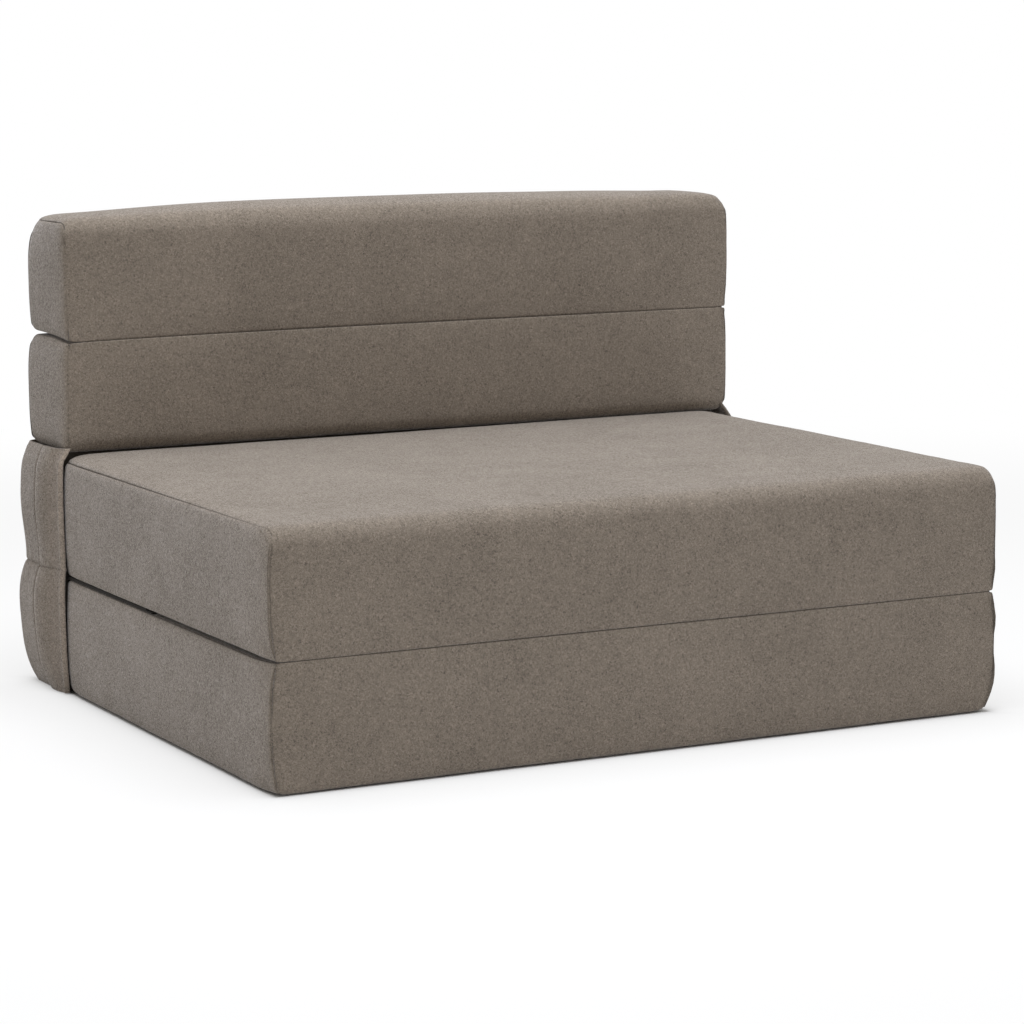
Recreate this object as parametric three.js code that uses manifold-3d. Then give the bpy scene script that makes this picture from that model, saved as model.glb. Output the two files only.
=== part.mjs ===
import * as THREE from 'three';
import { mergeVertices } from 'three/addons/utils/BufferGeometryUtils.js';
import Module from 'manifold-3d';

const wasm = await Module();
wasm.setup();

// A fold-out chair bed of fabric-covered foam blocks, in millimetres.
// X runs across the seat, Y from the front face to the rear, Z up.

// Driving dimensions of the blocks
const blockWidth = 1000;
const seatDepth = 697;
const baseHeight = 154;
const seatHeight = 153.3;
const seatGap = 4.2;
const backRise = 13;
const backOverhang = 14;
const backDepth = 132;
const lowerBackHeight = 149.5;
const backGap = 3;
const upperBackHeight = 151;
const clearance = 0.3;

// Covers: a wrap round each block and a domed panel sewn to each end
const coverThickness = 2;
const panelThickness = 2;
const endDome = 6;
const cornerDraw = 4;

// Rounding of the block edges, and how far the faces stand proud: a swell lifts an edge of the top,
// and a crown rises between the edges. The seat's front edge is low, as it meets the floor when unfolded.
const topRadius = 24;
const seamRadius = 9;
const rearRadius = 20;
const swingRadius = 34;
const frontCrown = 3;
const seatRearSwell = 8;
const seatFrontSwell = 1.5;
const seatCrown = 6;
const headrestSwell = 10;
const headrestCrown = 9;

// Fabric under the bed
const underlayThickness = 1.2;
const underlayInset = 12;

// Sleeve behind the seat, with its two padded sections and bulging wings
const sleeveGap = 9;
const liningThickness = 1.5;
const lowerPadHeight = 167.2;
const padFrontRadius = 6;
const padRearRadius = 24;
const bottomSpread = 4;
const seamSpread = 9;
const topSpread = 2;
const lowerLobe = 15;
const upperLobe = 13;
const rearLobe = 4;
const sleeveThickness = 2;
const wingReturn = 30;
const hemDepth = 26;
const hemThickness = 4;
const hemRoll = 3;
const hemDraw = 0.5;

// Tapes in the front seams, and the flap tucked between seat and base
const tapeInset = 1;
const tapeDepth = 21;
const flapLength = 312;
const flapStep = 20;

// Zip on the rear face of each cover, ending short of both end seams
const zipEndInset = 40;
const zipTapeWidth = 26;
const zipTapeThickness = 0.8;
const coilWidth = 5;
const coilHeight = 1.3;
const sliderLength = 14;
const sliderHeadWidth = 10;
const sliderTailWidth = 8;
const sliderPlate = 1.1;
const sliderParking = 12;
const pinRadius = 0.6;
const pinClearance = 0.25;
const eyeRadius = 1.3;
const eyeLength = 3;
const earThickness = 1;
const earRadius = 1.1;
const pullThickness = 1.2;
const pullLength = 26;
const pullWidth = 8;
const pullNeck = 4;
const cutOverrun = 1;

// Heights and depths worked out from the driving dimensions
const baseBottom = underlayThickness + clearance;
const baseTop = baseBottom + baseHeight;
const seatBottom = baseTop + seatGap;
const seatTop = seatBottom + seatHeight;
const backBottom = seatTop + backRise;
const lowerBackTop = backBottom + lowerBackHeight;
const upperBackBottom = lowerBackTop + backGap;
const upperBackTop = upperBackBottom + upperBackHeight;
const backFront = seatDepth - backOverhang;
const backRear = backFront + backDepth;
const halfWidth = blockWidth / 2;
const zipLength = blockWidth - 2 * zipEndInset;

// Radii and crowns go round each block: rear bottom, rear top, front top and front bottom corner,
// then rear, top, front and bottom face. Swells are those of the rear and the front edge of the top.
const blocks = {
  base: {
    front: 0, rear: seatDepth, bottom: baseBottom, top: baseTop, swells: [0, 0],
    radii: [rearRadius, rearRadius, seamRadius, topRadius], crowns: [0, 0, frontCrown, 0],
  },
  seat: {
    front: 0, rear: seatDepth, bottom: seatBottom, top: seatTop,
    swells: [seatRearSwell, seatFrontSwell],
    radii: [rearRadius, swingRadius, topRadius, seamRadius], crowns: [0, seatCrown, frontCrown, 0],
  },
  lower_back: {
    front: backFront, rear: backRear, bottom: backBottom, top: lowerBackTop, swells: [0, 0],
    radii: [rearRadius, rearRadius, seamRadius, swingRadius], crowns: [0, 0, frontCrown, 0],
  },
  upper_back: {
    front: backFront, rear: backRear, bottom: upperBackBottom, top: upperBackTop,
    swells: [headrestSwell, headrestSwell],
    radii: [rearRadius, topRadius, topRadius, seamRadius], crowns: [0, headrestCrown, frontCrown, 0],
  },
};

const fabricColour = 0x7a7067;
const hemColour = 0x6a6158;
const liningColour = 0x2b2723;
const foamColour = 0xe6dcc2;
const tapeColour = 0x4b443d;
const metalColour = 0x8d8a84;

const chairBed = new THREE.Group();

function addPiece(name, geometry, color, roughness = 0.9, metalness = 0) {
  const mesh = new THREE.Mesh(geometry, new THREE.MeshStandardMaterial({ color, roughness, metalness }));
  mesh.name = name;
  chairBed.add(mesh);
  return mesh;
}

// A closed surface from points and triangles, turned so that its faces point out
function closedSurface(points, triangles) {
  let volume = 0;
  for (const [a, b, c] of triangles) {
    const [p, q, r] = [points[a], points[b], points[c]];
    volume += p[0] * (q[1] * r[2] - q[2] * r[1])
      + p[1] * (q[2] * r[0] - q[0] * r[2])
      + p[2] * (q[0] * r[1] - q[1] * r[0]);
  }
  const outward = volume > 0 ? triangles : triangles.map(([a, b, c]) => [a, c, b]);
  const geometry = new THREE.BufferGeometry();
  geometry.setAttribute('position', new THREE.Float32BufferAttribute(points.flat(), 3));
  geometry.setIndex(outward.flat());
  geometry.computeVertexNormals();
  return geometry;
}

// Splits a four-cornered face along its shorter diagonal, so that parallel skins bend alike
function addFace(triangles, points, [a, b, c, d]) {
  const span = (i, j) => Math.hypot(...points[i].map((value, axis) => value - points[j][axis]));
  if (a === b) triangles.push([a, c, d]);
  else if (c === d) triangles.push([a, b, c]);
  else if (span(a, c) < span(b, d)) triangles.push([a, b, c], [a, c, d]);
  else triangles.push([a, b, d], [b, c, d]);
}

// Joins rings of points into one skin: a single point closes an end, and joined rings close on themselves
function loft(rings, joined) {
  const points = rings.flat();
  const starts = rings.map((_, i) => rings.slice(0, i).flat().length);
  const triangles = [];
  const pairs = joined ? rings.length : rings.length - 1;
  for (let i = 0; i < pairs; i += 1) {
    const next = (i + 1) % rings.length;
    const steps = Math.max(rings[i].length, rings[next].length);
    for (let j = 0; j < steps; j += 1) {
      const at = (ring, step) => starts[ring] + (rings[ring].length > 1 ? step % steps : 0);
      addFace(triangles, points, [at(i, j), at(i, j + 1), at(next, j + 1), at(next, j)]);
    }
  }
  return closedSurface(points, triangles);
}

// A sheet between an outer and an inner grid of points, closed along its four edges
function sheet(outer, inner) {
  const rows = outer.length;
  const columns = outer[0].length;
  const points = [...outer.flat(), ...inner.flat()];
  const at = (side, row, column) => side * rows * columns + row * columns + column;
  const triangles = [];
  const quad = (...corners) => addFace(triangles, points, corners);
  for (let r = 0; r < rows - 1; r += 1) {
    for (let c = 0; c < columns - 1; c += 1) {
      quad(at(0, r, c), at(0, r, c + 1), at(0, r + 1, c + 1), at(0, r + 1, c));
      quad(at(1, r, c), at(1, r + 1, c), at(1, r + 1, c + 1), at(1, r, c + 1));
    }
  }
  for (let c = 0; c < columns - 1; c += 1) {
    quad(at(0, 0, c), at(1, 0, c), at(1, 0, c + 1), at(0, 0, c + 1));
    quad(at(0, rows - 1, c), at(0, rows - 1, c + 1), at(1, rows - 1, c + 1), at(1, rows - 1, c));
  }
  for (let r = 0; r < rows - 1; r += 1) {
    quad(at(0, r, 0), at(0, r + 1, 0), at(1, r + 1, 0), at(1, r, 0));
    quad(at(0, r, columns - 1), at(1, r, columns - 1), at(1, r + 1, columns - 1), at(0, r + 1, columns - 1));
  }
  return closedSurface(points, triangles);
}

// A flat sheet lying level or standing square, between two corners
function flatSheet(low, high) {
  const size = high.map((value, i) => value - low[i]);
  const geometry = new THREE.BoxGeometry(...size);
  geometry.translate(...low.map((value, i) => value + size[i] / 2));
  return geometry;
}

// The outline of a block in Y and Z at a share of its half width: counter-clockwise from the right,
// starting at the rear bottom corner. Each point knows how near it is to a corner, from 0 to 1.
const cornerSteps = 3;
const sideShares = [0.25, 0.5, 0.75];
const swellSteepness = 16;
const crownSteepness = 3;
const swellShare = (share) => 1 - Math.abs(share) ** swellSteepness;
const crownShare = (share) => 1 - Math.abs(share) ** crownSteepness;

function blockOutline(block, inset, widthShare) {
  const [front, rear] = [block.front + inset, block.rear - inset];
  const [bottom, top] = [block.bottom + inset, block.top - inset];
  const [rearLift, frontLift] = block.swells.map((swell) => swell * swellShare(widthShare));
  const corners = [
    [rear, bottom, -1, 1, rearLift], [rear, top, -1, -1, rearLift],
    [front, top, 1, -1, frontLift], [front, bottom, 1, 1, frontLift],
  ];
  const arcs = corners.map(([y, z, towardsY, towardsZ, lift], i) => {
    const radius = block.radii[i] - inset;
    const arc = [];
    for (let step = 0; step <= cornerSteps; step += 1) {
      const angle = (i - 1 + step / cornerSteps) * Math.PI / 2;
      arc.push({
        y: y + radius * (towardsY + Math.cos(angle)),
        z: z + radius * (towardsZ + Math.sin(angle)) + lift * Math.max(0, Math.sin(angle)),
        corner: 1,
      });
    }
    return arc;
  });
  const outwards = [[1, 0], [0, 1], [-1, 0], [0, -1]];
  return arcs.flatMap((arc, i) => {
    const [from, to] = [arc[cornerSteps], arcs[(i + 1) % arcs.length][0]];
    const side = sideShares.map((share) => {
      const crown = 4 * share * (1 - share) * block.crowns[i] * crownShare(widthShare);
      return {
        y: from.y + share * (to.y - from.y) + crown * outwards[i][0],
        z: from.z + share * (to.z - from.z) + crown * outwards[i][1],
        corner: (2 * share - 1) ** 2,
      };
    });
    return [...arc, ...side];
  });
}

// Swell and crown die out at the end seams, whose corners are drawn in by the stitching
const stationShares = [-1, -0.97, -0.9, -0.75, -0.4, 0, 0.4, 0.75, 0.9, 0.97, 1];
const domeShares = [0.45, 0.8, 1];
const drawSteepness = 4;

function bodyRing(block, inset, widthShare) {
  const atEnd = Math.abs(widthShare) === 1 ? Math.sign(widthShare) : 0;
  return blockOutline(block, inset, widthShare).map(({ y, z, corner }) => (
    [widthShare * halfWidth - atEnd * cornerDraw * corner, y, z]
  ));
}

function domeRing(block, inset, share, x) {
  const [centreY, centreZ] = [(block.front + block.rear) / 2, (block.bottom + block.top) / 2];
  return blockOutline(block, inset, 1).map(({ y, z, corner }) => {
    const swollen = endDome * (1 - share ** 2) - cornerDraw * corner * share ** drawSteepness;
    return [x + Math.sign(x) * swollen, centreY + share * (y - centreY), centreZ + share * (z - centreZ)];
  });
}

function domeCentre(block, x) {
  return [[x + Math.sign(x) * endDome, (block.front + block.rear) / 2, (block.bottom + block.top) / 2]];
}

function foamCore(block) {
  const inset = coverThickness + clearance;
  const inner = domeShares.slice(0, -1);
  return loft([
    domeCentre(block, -halfWidth),
    ...inner.map((share) => domeRing(block, inset, share, -halfWidth)),
    ...stationShares.map((share) => bodyRing(block, inset, share)),
    ...inner.toReversed().map((share) => domeRing(block, inset, share, halfWidth)),
    domeCentre(block, halfWidth),
  ], false);
}

function coverWrap(block) {
  const outer = stationShares.map((share) => bodyRing(block, 0, share));
  const inner = stationShares.map((share) => bodyRing(block, coverThickness, share));
  return loft([...outer, ...inner.toReversed()], true);
}

function sidePanel(block, side) {
  const inside = side * (halfWidth + clearance);
  const outside = inside + side * panelThickness;
  return loft([
    domeCentre(block, inside),
    ...domeShares.map((share) => domeRing(block, 0, share, inside)),
    ...domeShares.toReversed().map((share) => domeRing(block, 0, share, outside)),
    domeCentre(block, outside),
  ], false);
}

for (const [name, block] of Object.entries(blocks)) {
  addPiece(`${name}_foam`, foamCore(block), foamColour);
  addPiece(`${name}_cover`, coverWrap(block), fabricColour);
  addPiece(`${name}_side_left`, sidePanel(block, -1), fabricColour);
  addPiece(`${name}_side_right`, sidePanel(block, 1), fabricColour);
}

// The two padded sections behind the seat: level rings whose ends bulge between the seams
const padFront = seatDepth + sleeveGap + liningThickness + clearance;
const padTop = backBottom - clearance;
const padSeam = baseBottom + lowerPadHeight;
const rowShares = [0, 0.05, 0.15, 0.3, 0.5, 0.7, 0.85, 0.95, 1];
const lobeSteepness = 3;

const pads = {
  rear_foam_lower: {
    bottom: baseBottom, top: padSeam, spreads: [bottomSpread, seamSpread], lobe: lowerLobe,
  },
  rear_foam_upper: {
    bottom: padSeam + clearance, top: padTop, spreads: [seamSpread, topSpread], lobe: upperLobe,
  },
};

function padRow(pad, share) {
  const swell = 1 - Math.abs(2 * share - 1) ** lobeSteepness;
  const spread = pad.spreads[0] + share * (pad.spreads[1] - pad.spreads[0]);
  return {
    z: pad.bottom + share * (pad.top - pad.bottom),
    side: halfWidth + spread + pad.lobe * swell,
    rear: backRear + rearLobe * swell,
  };
}

function cornerArc(centreX, centreY, radius, firstQuarter) {
  const arc = [];
  for (let step = 0; step <= cornerSteps; step += 1) {
    const angle = (firstQuarter + step / cornerSteps) * Math.PI / 2;
    arc.push([centreX + radius * Math.cos(angle), centreY + radius * Math.sin(angle)]);
  }
  return arc;
}

function padRing(row) {
  const { side, rear, z } = row;
  const outline = [
    ...cornerArc(side - padFrontRadius, padFront + padFrontRadius, padFrontRadius, -1),
    ...cornerArc(side - padRearRadius, rear - padRearRadius, padRearRadius, 0),
    ...cornerArc(padRearRadius - side, rear - padRearRadius, padRearRadius, 1),
    ...cornerArc(padFrontRadius - side, padFront + padFrontRadius, padFrontRadius, 2),
  ];
  return outline.map(([x, y]) => [x, y, z]);
}

for (const [name, pad] of Object.entries(pads)) {
  const rings = rowShares.map((share) => padRing(padRow(pad, share)));
  const centreY = (padFront + backRear) / 2;
  addPiece(name, loft([[[0, centreY, pad.bottom]], ...rings, [[0, centreY, pad.top]]], false), foamColour);
}

// The sleeve follows both padded sections, pinched in at the seam between them
const seamShare = rowShares.length - 1;
const sleeveRows = Object.values(pads).flatMap((pad, i) => (
  rowShares.slice(i === 0 ? 0 : 1).map((share) => padRow(pad, share))
));
sleeveRows[seamShare].z = padSeam + clearance / 2;

function wingPath(row, offset, side) {
  const { rear, z } = row;
  const arc = cornerArc(row.side - padRearRadius, rear - padRearRadius, padRearRadius + offset, 0);
  const path = [
    [row.side + offset, padFront + clearance],
    ...arc,
    [halfWidth - wingReturn, rear + offset],
  ];
  return path.map(([x, y]) => [side * x, y, z]);
}

// The hem runs on from the wing and is drawn in towards the side of the block it covers
function hemPath(row, side, offsets) {
  return [0, hemRoll, hemDepth].map((behindEdge, i) => {
    const drawn = hemDraw * (1 - behindEdge / hemDepth) * (row.side - halfWidth);
    return [side * (row.side - drawn + offsets[i]), padFront - hemDepth + behindEdge, row.z];
  });
}

// The hem is folded over: thin at its very edge, thickest at the roll, then as thin as the wing
const hemEdgeShares = [0.25, 0.75];
const hemInnerOffsets = [clearance + hemEdgeShares[0] * hemThickness, clearance, clearance];
const hemOuterOffsets = [
  clearance + hemEdgeShares[1] * hemThickness,
  clearance + hemThickness,
  clearance + sleeveThickness,
];

for (const [name, side] of [['left', -1], ['right', 1]]) {
  const wingOuter = sleeveRows.map((row) => wingPath(row, clearance + sleeveThickness, side));
  const wingInner = sleeveRows.map((row) => wingPath(row, clearance, side));
  addPiece(`wing_${name}`, sheet(wingOuter, wingInner), fabricColour);
  const hemOuter = sleeveRows.map((row) => hemPath(row, side, hemOuterOffsets));
  const hemInner = sleeveRows.map((row) => hemPath(row, side, hemInnerOffsets));
  addPiece(`wing_${name}_hem`, sheet(hemOuter, hemInner), hemColour);
}

const sheetEdge = halfWidth - wingReturn - clearance;
const rearSheetRow = ({ rear, z }, offset) => [
  [-sheetEdge, rear + offset, z],
  [sheetEdge, rear + offset, z],
];
addPiece('sleeve_rear_sheet', sheet(
  sleeveRows.map((row) => rearSheetRow(row, clearance + sleeveThickness)),
  sleeveRows.map((row) => rearSheetRow(row, clearance)),
), fabricColour);

const liningFront = seatDepth + sleeveGap;
addPiece('sleeve_front_lining', flatSheet(
  [-halfWidth, liningFront, baseBottom],
  [halfWidth, liningFront + liningThickness, padTop],
), liningColour);

// Fabric under the bed: the non-slip underlay, and the gusset that the back section tips on
const underlayEdge = halfWidth - underlayInset;
const gussetFront = seatDepth - underlayInset;
const gussetRear = backRear + rearLobe + clearance + sleeveThickness;
addPiece('base_underlay', flatSheet(
  [-underlayEdge, underlayInset, 0],
  [underlayEdge, gussetFront - clearance, underlayThickness],
), liningColour);
addPiece('floor_gusset', flatSheet(
  [-underlayEdge, gussetFront, 0],
  [underlayEdge, gussetRear, underlayThickness],
), liningColour);

// Tapes sewn into the two front seams
function hingeTape(front, bottom, top) {
  return flatSheet([-halfWidth, front + tapeInset, bottom + clearance],
    [halfWidth, front + tapeInset + tapeDepth, top - clearance]);
}

addPiece('seat_hinge_tape', hingeTape(0, baseTop, seatBottom), tapeColour);
addPiece('headrest_hinge_tape', hingeTape(backFront, lowerBackTop, upperBackBottom), tapeColour);

// Two layers of the flap that holds the back section, tucked between base and seat
const flapThickness = (seatGap - 3 * clearance) / 2;
for (const [i, name] of ['anchor_flap_lower', 'anchor_flap_upper'].entries()) {
  const bottom = baseTop + clearance + i * (flapThickness + clearance);
  addPiece(name, flatSheet(
    [-halfWidth, seatDepth + clearance - flapLength + i * flapStep, bottom],
    [halfWidth, seatDepth + clearance, bottom + flapThickness],
  ), liningColour);
}

// Solids that are joined or cut
function toSolid(geometry) {
  const bare = geometry.clone();
  bare.deleteAttribute('normal');
  bare.deleteAttribute('uv');
  const merged = mergeVertices(bare);
  return new wasm.Manifold(new wasm.Mesh({
    numProp: 3,
    vertProperties: new Float32Array(merged.attributes.position.array),
    triVerts: new Uint32Array(merged.index.array),
  }));
}

function toGeometry(solid) {
  const { vertProperties, triVerts } = solid.getMesh();
  const geometry = new THREE.BufferGeometry();
  geometry.setAttribute('position', new THREE.Float32BufferAttribute(vertProperties, 3));
  geometry.setIndex([...triVerts]);
  geometry.computeVertexNormals();
  return geometry;
}

// Stands an extrusion up so that its outline lies in X and Z, from the given plane towards the front
function standing(shape, depth, rear, curveSegments = 5) {
  const geometry = new THREE.ExtrudeGeometry(shape, { depth, bevelEnabled: false, curveSegments });
  geometry.rotateX(Math.PI / 2);
  return geometry.translate(0, rear, 0);
}

function outlineShape(points) {
  return new THREE.Shape(points.map(([x, y]) => new THREE.Vector2(x, y)));
}

// One zip: heights are measured outwards from the rear face of the block
const tapeTop = clearance + zipTapeThickness;
const coilTop = tapeTop + coilHeight;
const sliderBottom = tapeTop + clearance;
const sliderTop = coilTop + clearance + sliderPlate;
const pinHeight = sliderTop + clearance + eyeRadius;
const pinDiameterSteps = 10;

function zipTape() {
  const profile = outlineShape([
    [clearance, -zipTapeWidth / 2], [tapeTop, -zipTapeWidth / 2], [tapeTop, -coilWidth / 2],
    [coilTop, -coilWidth / 4], [coilTop, coilWidth / 4], [tapeTop, coilWidth / 2],
    [tapeTop, zipTapeWidth / 2], [clearance, zipTapeWidth / 2],
  ]);
  const geometry = new THREE.ExtrudeGeometry(profile, { depth: zipLength, bevelEnabled: false });
  const turned = new THREE.Matrix4().makeBasis(
    new THREE.Vector3(0, 1, 0), new THREE.Vector3(0, 0, 1), new THREE.Vector3(1, 0, 0),
  );
  return geometry.applyMatrix4(turned).translate(-zipLength / 2, 0, 0);
}

function pinAlongZ(radius, length) {
  const geometry = new THREE.CylinderGeometry(radius, radius, length, pinDiameterSteps);
  return geometry.rotateX(Math.PI / 2).translate(0, pinHeight, 0);
}

function zipSlider() {
  const [half, head, tail] = [sliderLength / 2, sliderHeadWidth / 2, sliderTailWidth / 2];
  const shield = new THREE.Shape();
  shield.moveTo(-half, -tail);
  shield.lineTo(0, -head);
  shield.quadraticCurveTo(half, -head, half, 0);
  shield.quadraticCurveTo(half, head, 0, head);
  shield.lineTo(-half, tail);
  const body = toSolid(standing(shield, sliderTop - sliderBottom, sliderTop));
  const channelHalf = coilWidth / 2 + clearance;
  const channel = toSolid(flatSheet(
    [-sliderLength, sliderBottom - cutOverrun, -channelHalf],
    [sliderLength, coilTop + clearance, channelHalf],
  ));
  const earInside = eyeLength / 2 + clearance;
  let slider = body.subtract(channel);
  for (const side of [-1, 1]) {
    const [near, far] = [side * earInside, side * (earInside + earThickness)].sort((a, b) => a - b);
    slider = slider.add(toSolid(flatSheet(
      [-earRadius, sliderTop - sliderPlate / 2, near],
      [earRadius, pinHeight + earRadius, far],
    )));
  }
  return toGeometry(slider.add(toSolid(pinAlongZ(pinRadius, 2 * earInside + earThickness))));
}

function zipPull() {
  const tab = new THREE.Shape();
  tab.moveTo(0, -eyeLength / 2);
  tab.lineTo(pullNeck, -eyeLength / 2);
  tab.lineTo(2 * pullNeck, -pullWidth / 2);
  tab.lineTo(pullLength - pullWidth / 2, -pullWidth / 2);
  tab.absarc(pullLength - pullWidth / 2, 0, pullWidth / 2, -Math.PI / 2, Math.PI / 2, false);
  tab.lineTo(2 * pullNeck, pullWidth / 2);
  tab.lineTo(pullNeck, eyeLength / 2);
  tab.lineTo(0, eyeLength / 2);
  const blade = toSolid(standing(tab, pullThickness, pinHeight + pullThickness / 2));
  const eye = toSolid(pinAlongZ(eyeRadius, eyeLength));
  const hole = toSolid(pinAlongZ(pinRadius + pinClearance, eyeLength + 2 * cutOverrun));
  return toGeometry(blade.add(eye).subtract(hole));
}

for (const [name, block] of Object.entries(blocks)) {
  const centreZ = (block.bottom + block.top) / 2;
  const closedX = sliderParking + sliderLength / 2 - zipLength / 2;
  addPiece(`${name}_zip`, zipTape(), tapeColour).position.set(0, block.rear, centreZ);
  const slider = addPiece(`${name}_zip_slider`, zipSlider(), metalColour, 0.35, 0.9);
  const pull = addPiece(`${name}_zip_pull`, zipPull(), metalColour, 0.35, 0.9);
  slider.position.set(closedX, block.rear, centreZ);
  pull.position.set(closedX, block.rear, centreZ);
}

// The origin is under the middle of the whole chair bed
const extent = new THREE.Box3().setFromObject(chairBed);
chairBed.position.y = -(extent.min.y + extent.max.y) / 2;
chairBed.updateMatrixWorld(true);

export default chairBed;
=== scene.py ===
import math

import bmesh
import bpy
import numpy as np
from mathutils import Matrix, Vector, kdtree, noise


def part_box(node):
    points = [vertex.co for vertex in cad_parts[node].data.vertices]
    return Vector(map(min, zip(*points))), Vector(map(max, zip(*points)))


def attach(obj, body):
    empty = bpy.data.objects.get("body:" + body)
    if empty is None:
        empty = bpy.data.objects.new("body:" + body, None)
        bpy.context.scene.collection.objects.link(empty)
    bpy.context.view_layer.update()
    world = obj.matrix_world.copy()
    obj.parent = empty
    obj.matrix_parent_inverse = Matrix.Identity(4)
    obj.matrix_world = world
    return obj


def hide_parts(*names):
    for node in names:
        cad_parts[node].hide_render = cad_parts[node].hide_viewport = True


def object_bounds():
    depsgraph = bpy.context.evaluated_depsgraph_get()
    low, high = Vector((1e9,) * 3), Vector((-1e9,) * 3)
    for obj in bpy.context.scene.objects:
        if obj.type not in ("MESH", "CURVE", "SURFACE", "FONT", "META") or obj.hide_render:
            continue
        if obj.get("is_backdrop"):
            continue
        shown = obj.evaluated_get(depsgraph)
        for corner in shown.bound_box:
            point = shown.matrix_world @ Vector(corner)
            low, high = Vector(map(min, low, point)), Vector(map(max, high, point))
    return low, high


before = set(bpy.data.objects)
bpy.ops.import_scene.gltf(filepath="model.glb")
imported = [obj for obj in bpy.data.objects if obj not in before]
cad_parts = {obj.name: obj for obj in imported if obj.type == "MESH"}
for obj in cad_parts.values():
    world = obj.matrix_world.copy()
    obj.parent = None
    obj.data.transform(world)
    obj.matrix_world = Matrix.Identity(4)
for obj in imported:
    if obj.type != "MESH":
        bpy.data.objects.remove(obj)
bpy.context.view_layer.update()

# Camera
# It stands low to the left of the front, and looks slightly down with a long lens, so that the
# front, the left side and the top of the seat all show.
camera_place = (-1.95097, -3.82477, 0.87040)
camera_turn = 0.475759
camera_dip = 0.144606
camera_roll = -0.0068975
camera_lens = 115.44
camera_sensor = 36.0

camera = bpy.data.objects.new("camera", bpy.data.cameras.new("camera"))
bpy.context.collection.objects.link(camera)
camera.data.lens = camera_lens
camera.data.sensor_width = camera_sensor
camera.location = camera_place
camera.rotation_euler = (
    Matrix.Rotation(-camera_turn, 3, "Z")
    @ Matrix.Rotation(math.pi / 2 - camera_dip, 3, "X")
    @ Matrix.Rotation(camera_roll, 3, "Z")
).to_euler()
bpy.context.scene.camera = camera
bpy.context.scene.view_settings.view_transform = "Standard"


# Studio
# A pale floor that keeps the soft contact shadow, a pale surround, a large soft lamp overhead and
# a weak one in front. What the camera sees of floor and surround away from the shadow is white.
class Wire:
    """An output of a material's nodes. Sums with it add Math nodes to the material."""

    def __init__(self, tree, socket=None):
        self.tree = tree
        self.socket = socket

    def node(self, kind, settings=None, inputs=None, output=0):
        made = self.tree.nodes.new(kind)
        for key, value in (settings or {}).items():
            setattr(made, key, value)
        for key, value in (inputs or {}).items():
            if isinstance(value, Wire):
                self.tree.links.new(value.socket, made.inputs[key])
            else:
                made.inputs[key].default_value = value
        return Wire(self.tree, made.outputs[output])

    def maths(self, operation, other=0.0):
        return self.node("ShaderNodeMath", {"operation": operation}, {0: self, 1: other})

    def __add__(self, other):
        return self.maths("ADD", other)

    def __mul__(self, other):
        return self.maths("MULTIPLY", other)

    def __sub__(self, other):
        return self.maths("SUBTRACT", other)

    def __rsub__(self, other):
        return self.maths("MULTIPLY", -1.0).maths("ADD", other)

    __radd__ = __add__
    __rmul__ = __mul__

    def axes(self):
        """X, Y and Z of a vector."""
        parts = self.node("ShaderNodeSeparateXYZ", None, {0: self})
        return [Wire(self.tree, part) for part in parts.socket.node.outputs]

    def shading(self, colour):
        """The colour, made lighter or darker by this number."""
        return self.node("ShaderNodeVectorMath", {"operation": "SCALE"}, {0: colour, "Scale": self})

    def into(self, node, name):
        self.tree.links.new(self.socket, node.inputs[name])


def object_place(tree):
    """Where a point lies on the object itself, so that a pattern moves and turns with its piece."""
    return Wire(tree).node("ShaderNodeTexCoord", output="Object")


surround_light = 0.545
surround_colour = (1.0, 0.977, 0.950)
floor_colour = (0.755, 0.755, 0.755, 1)
floor_half = 60.0
shadow_share = 0.33
shadow_near = 1.3
shadow_far = 3.2
plain_white = (1, 1, 1, 1)
floor_glow = 1.0
contact_half = (0.500, 0.410)
contact_reach = 0.010
lamps = {
    "overhead_lamp": {
        "place": (-0.2, -0.35, 3.2), "aim": (0, 0, 0.2), "size": 3.0,
        "power": 116, "colour": (0.955, 0.975, 1.01),
    },
    "front_lamp": {
        "place": (1.4, -3.6, 1.7), "aim": (0, 0, 0.3), "size": 2.4,
        "power": 4, "colour": (1.0, 1.0, 1.0),
    },
}
mix_first, mix_second, mix_result = 6, 7, 2


def seen_directly(tree):
    """1 where the camera sees it, also mirrored or through glass, and 0 where it only lights."""
    path = Wire(tree).node("ShaderNodeLightPath").socket.node
    kinds = ("Is Camera Ray", "Is Glossy Ray", "Is Transmission Ray")
    straight, mirrored, refracted = (Wire(tree, path.outputs[kind]) for kind in kinds)
    return straight.maths("MAXIMUM", mirrored).maths("MAXIMUM", refracted)


world = bpy.data.worlds.new("white_surround")
bpy.context.scene.world = world
world.use_nodes = True
backdrop = world.node_tree.nodes["Background"]
seen = seen_directly(world.node_tree)
(seen * (1 - surround_light) + surround_light).into(backdrop, "Strength")
seen.node("ShaderNodeMix", {"data_type": "RGBA"}, {
    "Factor": seen, mix_first: (*surround_colour, 1), mix_second: plain_white,
}, mix_result).into(backdrop, "Color")

for name, lamp in lamps.items():
    light = bpy.data.lights.new(name, "AREA")
    light.shape = "DISK"
    light.size = lamp["size"]
    light.energy = lamp["power"]
    light.color = lamp["colour"]
    holder = bpy.data.objects.new(name, light)
    bpy.context.collection.objects.link(holder)
    holder.location = lamp["place"]
    direction = Vector(lamp["aim"]) - Vector(lamp["place"])
    holder.rotation_euler = direction.to_track_quat("-Z", "Y").to_euler()

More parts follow.
